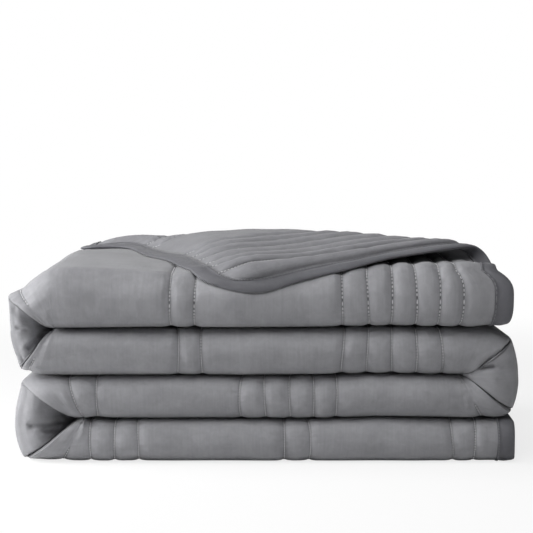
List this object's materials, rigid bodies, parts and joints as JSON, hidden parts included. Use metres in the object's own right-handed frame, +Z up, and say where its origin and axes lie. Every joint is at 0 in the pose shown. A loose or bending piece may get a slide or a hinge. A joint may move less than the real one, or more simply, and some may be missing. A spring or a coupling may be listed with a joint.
{
  "type": "folded quilted blanket",
  "caption": "Folded channel-quilted blanket in stacked tiers with pinched gussets and one bound corner turned over; rests flat on a shelf or bed.",
  "frame": {"origin": "middle of the stack's footprint on the surface it rests on", "axes": "+X along the tiers from the turned gussets to the bound end, +Y from the front rolls to the back, +Z up"},
  "size_m": [0.5428, 0.389, 0.2392],
  "materials": {
    "quilted_cloth": "soft matt weave with a faint sheen",
    "binding_cloth": "plain matt tape"
  },
  "bodies": {
    "root": {"blanket_panel": "quilted_cloth", "edge_binding": "binding_cloth"}
  },
  "joints": []
}
